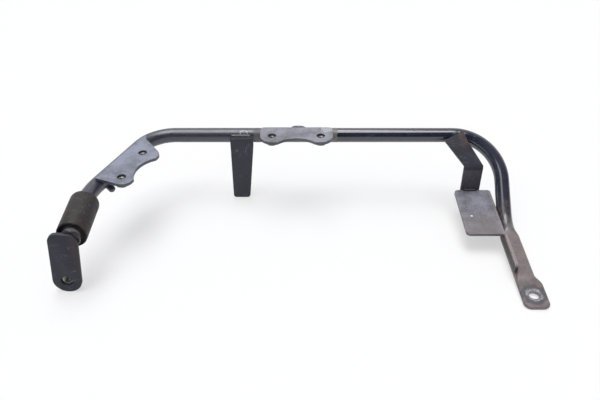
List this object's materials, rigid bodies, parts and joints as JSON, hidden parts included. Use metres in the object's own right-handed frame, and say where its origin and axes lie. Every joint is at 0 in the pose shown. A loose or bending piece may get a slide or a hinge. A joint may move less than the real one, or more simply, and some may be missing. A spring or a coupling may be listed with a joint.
{
  "type": "radiator bracket",
  "caption": "Bent tube bracket with welded mounting plates and weld nuts, a rubber-bushed link at one end and a crushed bolt end at the other.",
  "frame": {"origin": "midpoint of the centre plate's two threaded mounting holes, on the plate's underside, where the weld nuts seat", "axes": "+X along the bar towards the crushed end, +Y to the bar's rear, +Z out of the mounting plates"},
  "size_m": [0.414, 0.1855, 0.0815],
  "materials": {
    "tube_paint": "semi-gloss black paint over steel, dusty and scratched",
    "plate_paint": "semi-gloss black paint on flat steel plate, greyed by dust",
    "rusty_paint": "worn black paint with brown surface rust",
    "rubber": "matt black rubber",
    "steel": "dull grey steel",
    "weld": "painted weld bead"
  },
  "bodies": {
    "root": {"main_tube": "tube_paint", "centre_plate": "plate_paint", "centre_nut_1": "tube_paint", "centre_nut_2": "tube_paint", "gusset_plate": "plate_paint", "gusset_nut_1": "tube_paint", "gusset_nut_2": "tube_paint", "locating_peg": "tube_paint", "hanging_tab": "tube_paint", "strap": "tube_paint", "shelf_plate": "plate_paint", "bush_sleeve": "rusty_paint", "bush_rubber": "rubber", "bush_pin": "steel", "link_plate": "tube_paint", "link_nut": "steel", "weld_centre": "weld", "weld_gusset": "weld", "weld_tab": "weld", "weld_strap_bar": "weld", "weld_strap_shelf": "weld", "weld_flange": "weld", "weld_sleeve": "weld", "weld_link": "weld"}
  },
  "joints": []
}
